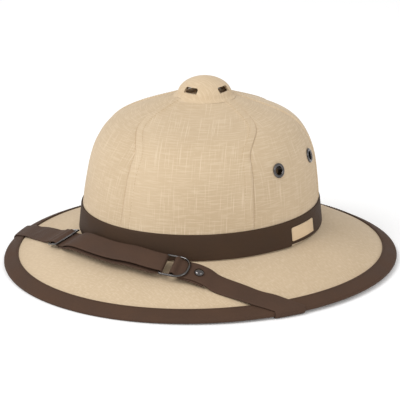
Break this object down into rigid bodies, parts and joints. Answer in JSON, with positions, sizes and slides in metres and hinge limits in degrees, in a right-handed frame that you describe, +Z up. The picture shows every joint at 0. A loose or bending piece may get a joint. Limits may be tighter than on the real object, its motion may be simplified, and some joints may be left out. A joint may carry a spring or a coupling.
{
  "type": "pith helmet",
  "caption": "Cloth-covered pith helmet with a panelled crown, vent cap, eyelets, bound sloping brim, band, and a chin strap stowed over the front brim.",
  "frame": {"origin": "centre of the bounding box at the brim's lowest face, which rests on the floor", "axes": "+Z up through the vent cap, -Y towards the front over the wearer's face, +X towards the wearer's left"},
  "size_m": [0.3296, 0.3448, 0.1596],
  "materials": {
    "cloth": "woven khaki cotton over a moulded shell",
    "trim": "matte dark brown leather with stitched edges",
    "strap": "matte dark brown leather",
    "tab": "pale smooth leather, bare",
    "metal": "polished dark nickel"
  },
  "bodies": {
    "root": {"crown": "cloth", "brim": "cloth", "brim_binding": "trim", "hatband": "trim", "label": "tab", "eyelet_left_front": "metal", "eyelet_left_back": "metal", "eyelet_right_front": "metal", "eyelet_right_back": "metal", "vent_cap": "cloth", "strap_right": "strap", "strap_left": "strap", "slider": "metal", "buckle": "metal", "rivet": "metal"}
  },
  "joints": []
}
